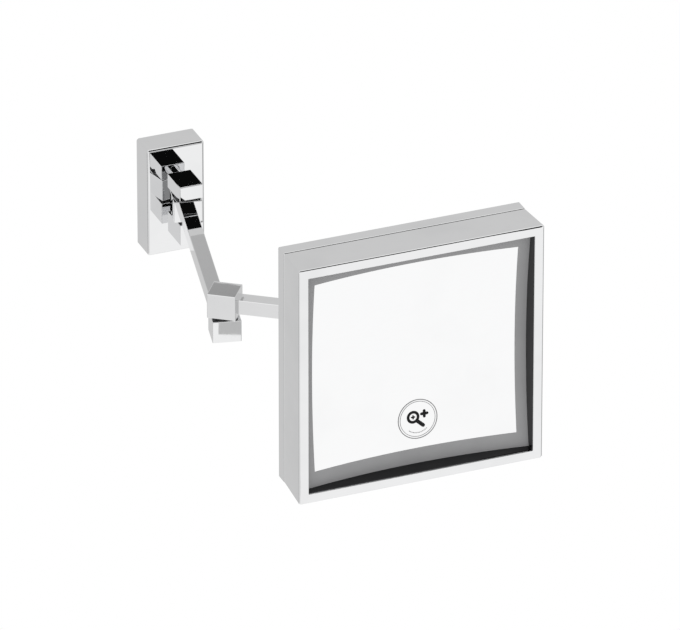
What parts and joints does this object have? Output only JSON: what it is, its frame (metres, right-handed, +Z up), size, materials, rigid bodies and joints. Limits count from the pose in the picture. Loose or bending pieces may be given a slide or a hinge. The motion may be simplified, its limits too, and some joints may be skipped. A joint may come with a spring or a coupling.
{
  "type": "extendable wall mirror",
  "caption": "Square magnifying shaving mirror in a deep chrome frame, on a hinged extending arm that swivels from a rectangular wall plate.",
  "frame": {"origin": "centre of the wall plate's back, on the wall", "axes": "+X to the right as seen from in front, +Y back into the wall, +Z up"},
  "size_m": [0.2158, 0.3928, 0.1998],
  "materials": {
    "chrome": "polished",
    "steel": "zinc plated",
    "die_cast": "as cast",
    "bronze": "sintered",
    "nylon": "moulded",
    "mirror": "silvered",
    "satin_border": "satin",
    "badge_print": "printed",
    "foam": "foam",
    "gasket": "matte"
  },
  "bodies": {
    "wall_bracket": {"mounting_plate": "die_cast", "wall_cover": "chrome", "cover_screw": "steel", "neck": "chrome", "bracket_block": "chrome", "lower_bracket_block": "chrome", "wall_pivot_pin": "steel", "wall_pivot_spring": "steel", "wall_pivot_nut": "steel", "wall_pivot_cap": "chrome"},
    "rear_arm": {"rear_arm_wall_block": "chrome", "rear_arm_bar": "chrome", "rear_arm_elbow_block": "chrome", "rear_arm_studs": "steel", "wall_pivot_bush": "bronze", "wall_pivot_washer": "nylon", "wall_pivot_lower_washer": "nylon", "elbow_pivot_bush": "bronze", "elbow_pivot_washer": "nylon", "elbow_pivot_cap": "chrome"},
    "front_arm": {"front_arm_elbow_block": "chrome", "front_arm_bar": "chrome", "front_arm_eye": "chrome", "front_arm_studs": "steel", "elbow_pivot_pin": "steel", "elbow_pivot_spring": "steel", "elbow_pivot_nut": "steel", "swivel_bush": "bronze"},
    "head_joint": {"swivel_fork": "chrome", "swivel_pin": "steel", "swivel_nut": "steel", "swivel_washers": "nylon", "tilt_bushes": "bronze", "tilt_washers": "nylon"},
    "mirror_head": {"front_frame": "chrome", "rear_cover": "chrome", "mirror_glass": "mirror", "mirror_border": "satin_border", "magnifier_badge": "badge_print", "mirror_bed": "foam", "corner_brackets": "steel", "cover_gasket": "gasket", "cover_screws": "steel", "hinge_plate": "chrome", "hinge_screws": "steel", "reinforcing_plate": "steel", "tilt_pin": "steel", "tilt_nut": "steel"}
  },
  "joints": [
    {"name": "wall_swivel", "type": "hinge", "parent": "wall_bracket", "child": "rear_arm", "pos_m": [0, -0.0445, 0.0142], "axis": [0, 0, 1], "range_deg": [-50, 40]},
    {"name": "elbow_swivel", "type": "hinge", "parent": "rear_arm", "child": "front_arm", "pos_m": [-0.0451, -0.2414, 0.0142], "axis": [0, 0, 1], "range_deg": [-80, 30]},
    {"name": "head_swivel", "type": "hinge", "parent": "front_arm", "child": "head_joint", "pos_m": [0.05522, -0.31429, 0.0243], "axis": [0, 0, 1], "range_deg": [-40, 80]},
    {"name": "head_tilt", "type": "hinge", "parent": "head_joint", "child": "mirror_head", "pos_m": [0.05522, -0.33629, 0.0243], "axis": [1, 0, 0], "range_deg": [-25, 25]}
  ]
}
